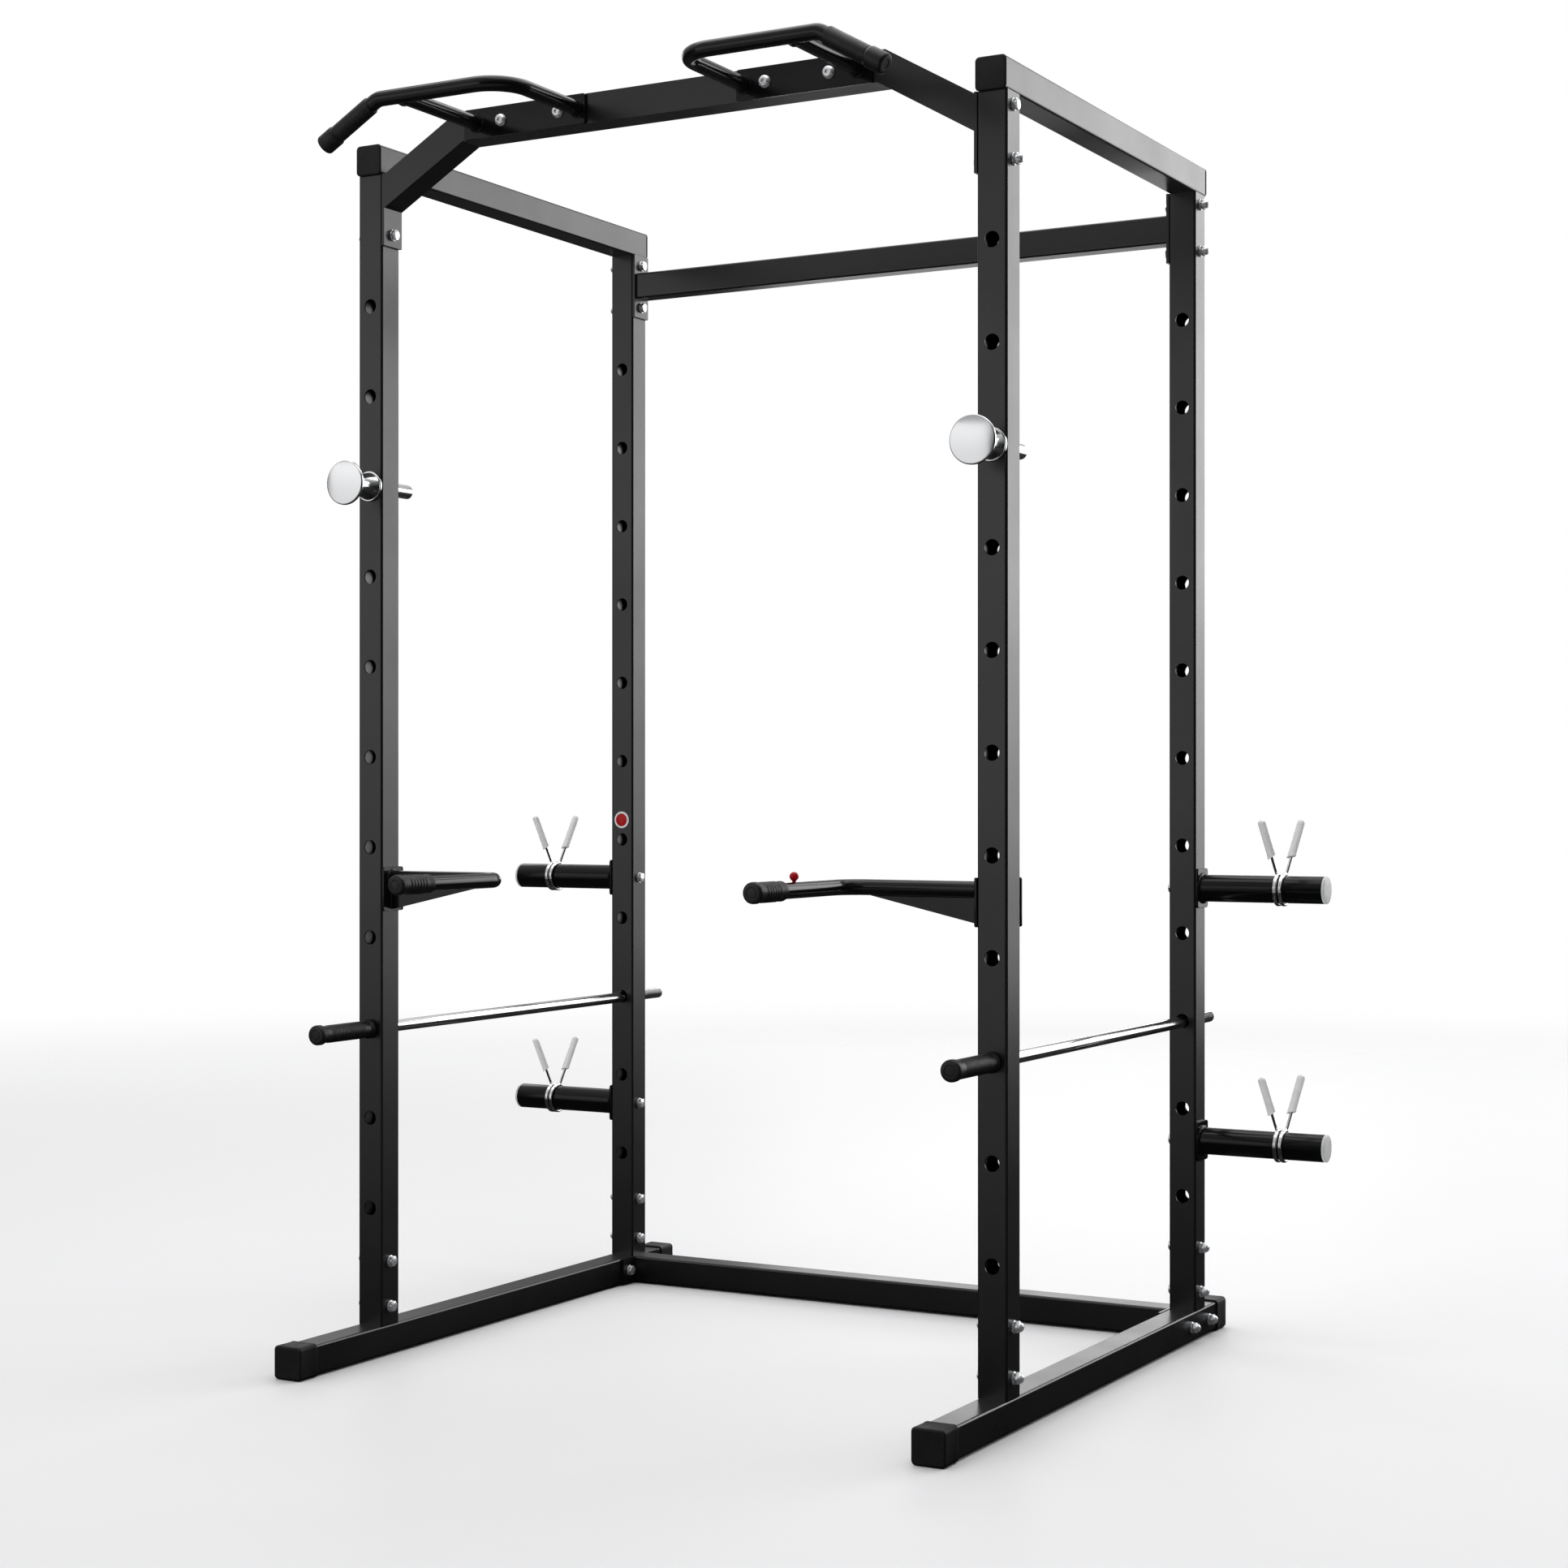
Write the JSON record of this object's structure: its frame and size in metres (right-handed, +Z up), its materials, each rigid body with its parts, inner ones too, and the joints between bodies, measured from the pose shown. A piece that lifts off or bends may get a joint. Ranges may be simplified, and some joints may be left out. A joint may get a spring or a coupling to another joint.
{
  "type": "power cage",
  "caption": "Freestanding bolted steel power cage with pull-up grips, dip handles, bar holders, safety bars and weight storage pegs.",
  "frame": {"origin": "on the floor, midway across the cage and midway between the dip handle tips and the rear base caps", "axes": "+X to the cage's right as seen from the front, +Y towards its rear, +Z up"},
  "size_m": [1.7, 1.236, 2.129],
  "materials": {
    "frame_paint": "satin",
    "grip_paint": "semi-gloss",
    "peg_paint": "gloss",
    "cap_plastic": "moulded",
    "peg_cap_plastic": "moulded",
    "grip_rubber": "ribbed",
    "clip_vinyl": "dipped vinyl",
    "chrome_plate": "polished",
    "zinc_plate": "bright zinc",
    "marker_red": "gloss"
  },
  "bodies": {
    "frame": {"base_rail_left": "frame_paint", "base_rail_right": "frame_paint", "rear_base_crossmember": "frame_paint", "upright_front_left": "frame_paint", "upright_front_right": "frame_paint", "upright_rear_left": "frame_paint", "upright_rear_right": "frame_paint", "top_rail_left": "frame_paint", "top_rail_right": "frame_paint", "rear_top_crossmember": "frame_paint", "base_joint_posts": "frame_paint", "top_joint_posts": "frame_paint", "base_end_caps": "cap_plastic", "top_rail_caps": "cap_plastic", "pull_up_beam": "frame_paint", "pull_up_grip_left": "grip_paint", "pull_up_grip_right": "grip_paint", "pull_up_sleeve_left": "grip_rubber", "pull_up_sleeve_right": "grip_rubber", "dip_arm_left": "grip_paint", "dip_arm_right": "grip_paint", "dip_grip_left": "grip_rubber", "dip_grip_right": "grip_rubber", "dip_marker_knob": "marker_red", "storage_peg_lower_left": "peg_paint", "storage_peg_lower_right": "peg_paint", "storage_peg_upper_left": "peg_paint", "storage_peg_upper_right": "peg_paint", "peg_cap_lower_left": "peg_cap_plastic", "peg_cap_lower_right": "peg_cap_plastic", "peg_cap_upper_left": "peg_cap_plastic", "peg_cap_upper_right": "peg_cap_plastic", "frame_bolts": "zinc_plate", "frame_nuts": "zinc_plate", "grip_bolts": "zinc_plate", "peg_bolts": "zinc_plate", "marker_plug": "marker_red"},
    "bar_holder_left": {"bar_holder_left": "chrome_plate"},
    "safety_bar_left": {"safety_bar_left": "chrome_plate", "safety_grip_left": "grip_rubber"},
    "spring_clip_lower_left": {"spring_clip_lower_left": "chrome_plate", "clip_sleeve_lower_left": "clip_vinyl"},
    "clip_lever_lower_left": {"clip_lever_lower_left": "chrome_plate", "lever_sleeve_lower_left": "clip_vinyl"},
    "spring_clip_upper_left": {"spring_clip_upper_left": "chrome_plate", "clip_sleeve_upper_left": "clip_vinyl"},
    "clip_lever_upper_left": {"clip_lever_upper_left": "chrome_plate", "lever_sleeve_upper_left": "clip_vinyl"},
    "bar_holder_right": {"bar_holder_right": "chrome_plate"},
    "safety_bar_right": {"safety_bar_right": "chrome_plate", "safety_grip_right": "grip_rubber"},
    "spring_clip_lower_right": {"spring_clip_lower_right": "chrome_plate", "clip_sleeve_lower_right": "clip_vinyl"},
    "clip_lever_lower_right": {"clip_lever_lower_right": "chrome_plate", "lever_sleeve_lower_right": "clip_vinyl"},
    "spring_clip_upper_right": {"spring_clip_upper_right": "chrome_plate", "clip_sleeve_upper_right": "clip_vinyl"},
    "clip_lever_upper_right": {"clip_lever_upper_right": "chrome_plate", "lever_sleeve_upper_right": "clip_vinyl"}
  },
  "joints": [
    {"name": "bar_holder_pull_left", "type": "slide", "parent": "frame", "child": "bar_holder_left", "axis": [0, -1, 0], "range_m": [0, 0.14]},
    {"name": "safety_bar_pull_left", "type": "slide", "parent": "frame", "child": "safety_bar_left", "axis": [0, -1, 0], "range_m": [0, 1]},
    {"name": "clip_slide_lower_left", "type": "slide", "parent": "frame", "child": "spring_clip_lower_left", "axis": [-1, 0, 0], "range_m": [-0.12, 0.12]},
    {"name": "clip_squeeze_lower_left", "type": "hinge", "parent": "spring_clip_lower_left", "child": "clip_lever_lower_left", "pos_m": [-0.77005, 0.493, 0.354], "axis": [-1, 0, 0], "range_deg": [0, 28], "stiffness_Nm_per_rad": 1.5},
    {"name": "clip_slide_upper_left", "type": "slide", "parent": "frame", "child": "spring_clip_upper_left", "axis": [-1, 0, 0], "range_m": [-0.12, 0.12]},
    {"name": "clip_squeeze_upper_left", "type": "hinge", "parent": "spring_clip_upper_left", "child": "clip_lever_upper_left", "pos_m": [-0.77005, 0.493, 0.804], "axis": [-1, 0, 0], "range_deg": [0, 28], "stiffness_Nm_per_rad": 1.5},
    {"name": "bar_holder_pull_right", "type": "slide", "parent": "frame", "child": "bar_holder_right", "axis": [0, -1, 0], "range_m": [0, 0.14]},
    {"name": "safety_bar_pull_right", "type": "slide", "parent": "frame", "child": "safety_bar_right", "axis": [0, -1, 0], "range_m": [0, 1]},
    {"name": "clip_slide_lower_right", "type": "slide", "parent": "frame", "child": "spring_clip_lower_right", "axis": [1, 0, 0], "range_m": [-0.12, 0.12]},
    {"name": "clip_squeeze_lower_right", "type": "hinge", "parent": "spring_clip_lower_right", "child": "clip_lever_lower_right", "pos_m": [0.75995, 0.493, 0.354], "axis": [-1, 0, 0], "range_deg": [0, 28], "stiffness_Nm_per_rad": 1.5},
    {"name": "clip_slide_upper_right", "type": "slide", "parent": "frame", "child": "spring_clip_upper_right", "axis": [1, 0, 0], "range_m": [-0.12, 0.12]},
    {"name": "clip_squeeze_upper_right", "type": "hinge", "parent": "spring_clip_upper_right", "child": "clip_lever_upper_right", "pos_m": [0.75995, 0.493, 0.804], "axis": [-1, 0, 0], "range_deg": [0, 28], "stiffness_Nm_per_rad": 1.5}
  ]
}
